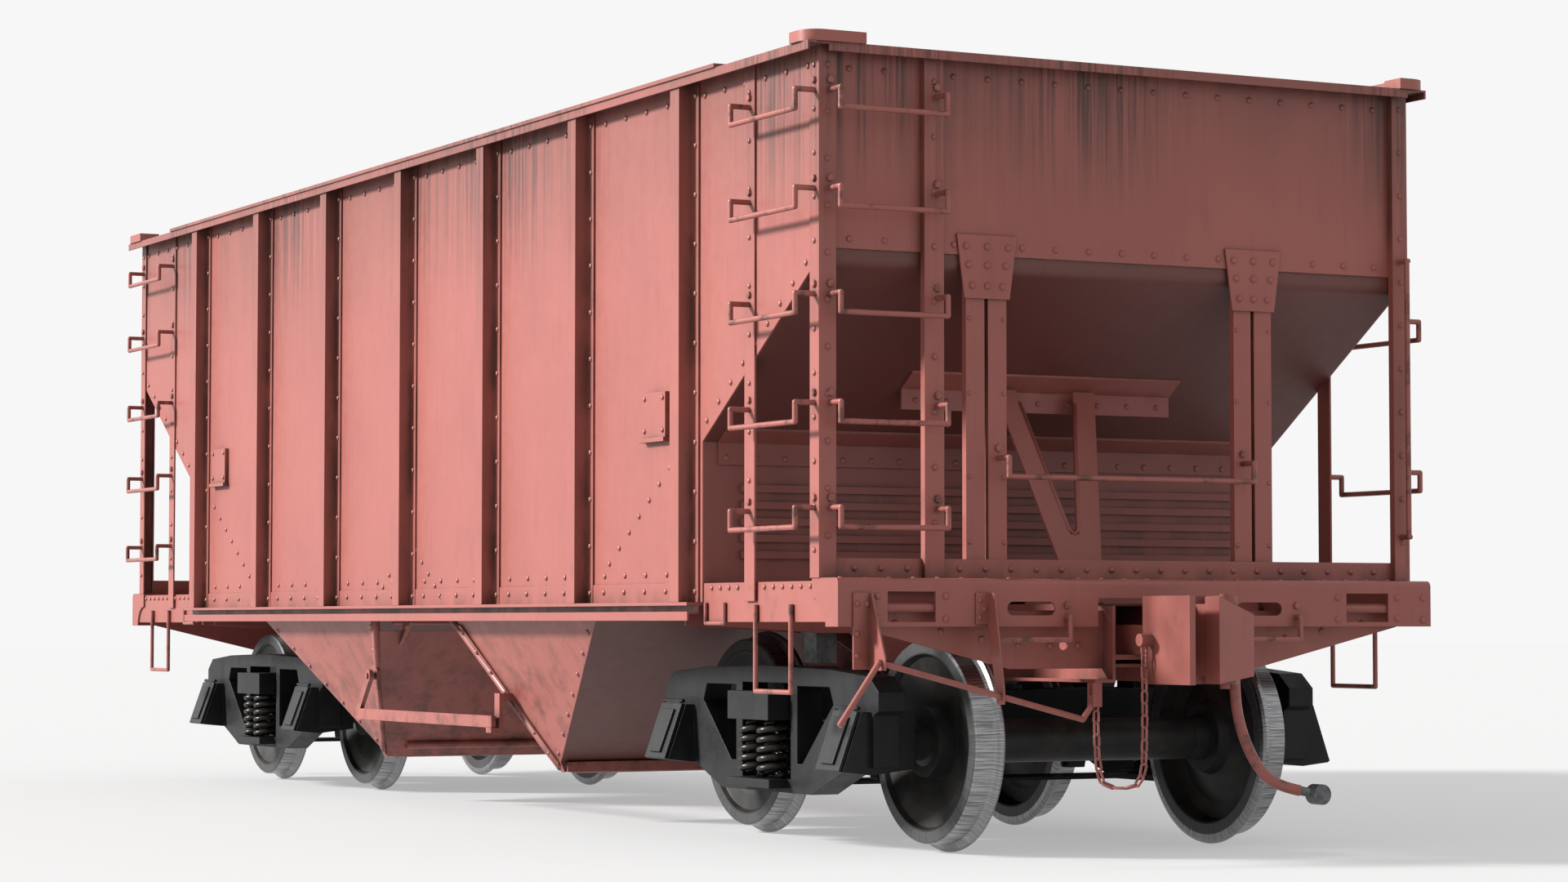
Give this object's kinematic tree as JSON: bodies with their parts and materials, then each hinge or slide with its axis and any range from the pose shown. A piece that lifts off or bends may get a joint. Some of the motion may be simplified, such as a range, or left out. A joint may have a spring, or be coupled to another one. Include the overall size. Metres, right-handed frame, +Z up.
{
  "type": "twin hopper car",
  "caption": "Riveted steel open-top railway hopper car with outside posts, ladders, bottom doors, sprung trucks, couplers and air hoses.",
  "frame": {"origin": "midway between the two trucks and the two sides, at the bottom of the wheel flanges", "axes": "+X along the car to its A end, +Y to the car's left, +Z up; the handbrake is at the B end, at -X"},
  "size_m": [10.8, 3.254, 3.478],
  "materials": {
    "body_red": "satin",
    "truck_black": "satin",
    "spring_black": "gloss",
    "wheel_steel": "satin",
    "hose_rubber": "matte",
    "fitting_grey": "satin"
  },
  "bodies": {
    "car_body": {"centre_sill": "body_red", "side_sills": "body_red", "end_sills": "body_red", "body_bolsters": "body_red", "body_bearings": "fitting_grey", "side_sheets": "body_red", "side_posts": "body_red", "corner_posts": "body_red", "top_rails": "body_red", "corner_caps": "body_red", "end_sheets": "body_red", "slope_sheets": "body_red", "ridge_sheets": "body_red", "hopper_chutes": "body_red", "bulkheads": "body_red", "end_uprights": "body_red", "slope_braces": "body_red", "ladder_stiles": "body_red", "grab_irons": "body_red", "stirrup_steps": "body_red", "inspection_covers": "body_red", "train_line": "body_red", "brake_cylinder": "body_red", "air_reservoir": "body_red", "lever_brackets": "body_red", "uncoupling_chains": "body_red", "handbrake_housing": "body_red", "brake_hose_a": "hose_rubber", "brake_hose_b": "hose_rubber", "gladhand_a": "fitting_grey", "gladhand_b": "fitting_grey"},
    "handbrake_wheel_body": {"handbrake_wheel": "body_red"},
    "lock_bar_right": {"door_lock_bar_right": "body_red"},
    "lock_bar_left": {"door_lock_bar_left": "body_red"},
    "yoke_a": {"draft_yoke_a": "body_red"},
    "coupler_body_a": {"coupler_a": "body_red"},
    "knuckle_body_a": {"knuckle_a": "body_red"},
    "lever_a": {"uncoupling_lever_a": "body_red"},
    "door_a": {"hopper_door_a": "body_red"},
    "truck_a": {"truck_frames_a": "truck_black", "truck_bolster_a": "truck_black", "spring_nests_a": "spring_black", "brake_rigging_a": "truck_black"},
    "lids_right_a": {"journal_lids_right_a": "truck_black"},
    "lids_left_a": {"journal_lids_left_a": "truck_black"},
    "outer_axle_a": {"outer_wheelset_a": "wheel_steel"},
    "inner_axle_a": {"inner_wheelset_a": "wheel_steel"},
    "yoke_b": {"draft_yoke_b": "body_red"},
    "coupler_body_b": {"coupler_b": "body_red"},
    "knuckle_body_b": {"knuckle_b": "body_red"},
    "lever_b": {"uncoupling_lever_b": "body_red"},
    "door_b": {"hopper_door_b": "body_red"},
    "truck_b": {"truck_frames_b": "truck_black", "truck_bolster_b": "truck_black", "spring_nests_b": "spring_black", "brake_rigging_b": "truck_black"},
    "lids_right_b": {"journal_lids_right_b": "truck_black"},
    "lids_left_b": {"journal_lids_left_b": "truck_black"},
    "outer_axle_b": {"outer_wheelset_b": "wheel_steel"},
    "inner_axle_b": {"inner_wheelset_b": "wheel_steel"}
  },
  "joints": [
    {"name": "draft_gear_a", "type": "slide", "parent": "car_body", "child": "yoke_a", "axis": [1, 0, 0], "range_m": [-0.065, 0.065], "stiffness_N_per_m": 1000000},
    {"name": "coupler_swing_a", "type": "hinge", "parent": "yoke_a", "child": "coupler_body_a", "pos_m": [4.29, 0, 0.924], "axis": [0, 0, 1], "range_deg": [-7, 7]},
    {"name": "knuckle_pin_a", "type": "hinge", "parent": "coupler_body_a", "child": "knuckle_body_a", "pos_m": [5.235, 0.095, 0.924], "axis": [0, 0, 1], "range_deg": [0, 50]},
    {"name": "lever_turn_a", "type": "hinge", "parent": "car_body", "child": "lever_a", "pos_m": [4.9, -1.385, 0.833], "axis": [0, -0.9704, 0.2414], "range_deg": [0, 45], "deforming": ["uncoupling_chains"]},
    {"name": "door_hinge_a", "type": "hinge", "parent": "car_body", "child": "door_a", "pos_m": [0.52, 0, 1], "axis": [0, 1, 0], "range_deg": [0, 22]},
    {"name": "truck_swivel_a", "type": "hinge", "parent": "car_body", "child": "truck_a", "pos_m": [3.383, 0, 0.69], "axis": [0, 0, 1], "range_deg": [-4, 4]},
    {"name": "outer_axle_turn_a", "type": "hinge", "parent": "truck_a", "child": "outer_axle_a", "pos_m": [4.239, 0, 0.479], "axis": [0, 1, 0], "continuous": true},
    {"name": "inner_axle_turn_a", "type": "hinge", "parent": "truck_a", "child": "inner_axle_a", "pos_m": [2.527, 0, 0.479], "axis": [0, 1, 0], "continuous": true},
    {"name": "lid_hinge_right_a", "type": "hinge", "parent": "truck_a", "child": "lids_right_a", "pos_m": [3.383, -1.1749, 0.6309], "axis": [-1, 0, 0], "range_deg": [0, 100]},
    {"name": "lid_hinge_left_a", "type": "hinge", "parent": "truck_a", "child": "lids_left_a", "pos_m": [3.383, 1.1749, 0.6309], "axis": [1, 0, 0], "range_deg": [0, 100]},
    {"name": "draft_gear_b", "type": "slide", "parent": "car_body", "child": "yoke_b", "axis": [-1, 0, 0], "range_m": [-0.065, 0.065], "stiffness_N_per_m": 1000000},
    {"name": "coupler_swing_b", "type": "hinge", "parent": "yoke_b", "child": "coupler_body_b", "pos_m": [-4.29, 0, 0.924], "axis": [0, 0, 1], "range_deg": [-7, 7]},
    {"name": "knuckle_pin_b", "type": "hinge", "parent": "coupler_body_b", "child": "knuckle_body_b", "pos_m": [-5.235, -0.095, 0.924], "axis": [0, 0, 1], "range_deg": [0, 50]},
    {"name": "lever_turn_b", "type": "hinge", "parent": "car_body", "child": "lever_b", "pos_m": [-4.9, 1.385, 0.833], "axis": [0, 0.9704, 0.2414], "range_deg": [0, 45]},
    {"name": "door_hinge_b", "type": "hinge", "parent": "car_body", "child": "door_b", "pos_m": [-0.52, 0, 1], "axis": [0, -1, 0], "range_deg": [0, 22]},
    {"name": "truck_swivel_b", "type": "hinge", "parent": "car_body", "child": "truck_b", "pos_m": [-3.383, 0, 0.69], "axis": [0, 0, 1], "range_deg": [-4, 4]},
    {"name": "outer_axle_turn_b", "type": "hinge", "parent": "truck_b", "child": "outer_axle_b", "pos_m": [-4.239, 0, 0.479], "axis": [0, 1, 0], "continuous": true},
    {"name": "inner_axle_turn_b", "type": "hinge", "parent": "truck_b", "child": "inner_axle_b", "pos_m": [-2.527, 0, 0.479], "axis": [0, 1, 0], "continuous": true},
    {"name": "lid_hinge_right_b", "type": "hinge", "parent": "truck_b", "child": "lids_right_b", "pos_m": [-3.383, 1.1749, 0.6309], "axis": [1, 0, 0], "range_deg": [0, 100]},
    {"name": "lid_hinge_left_b", "type": "hinge", "parent": "truck_b", "child": "lids_left_b", "pos_m": [-3.383, -1.1749, 0.6309], "axis": [-1, 0, 0], "range_deg": [0, 100]},
    {"name": "lock_bar_pivot_right", "type": "hinge", "parent": "car_body", "child": "lock_bar_right", "pos_m": [-0.78, -1.432, 0.707], "axis": [0, -1, 0], "range_deg": [0, 10]},
    {"name": "lock_bar_pivot_left", "type": "hinge", "parent": "car_body", "child": "lock_bar_left", "pos_m": [0.78, 1.432, 0.707], "axis": [0, 1, 0], "range_deg": [0, 10]},
    {"name": "handbrake_turn", "type": "hinge", "parent": "car_body", "child": "handbrake_wheel_body", "pos_m": [-4.7, 0.2, 2.93], "axis": [-1, 0, 0], "continuous": true}
  ]
}
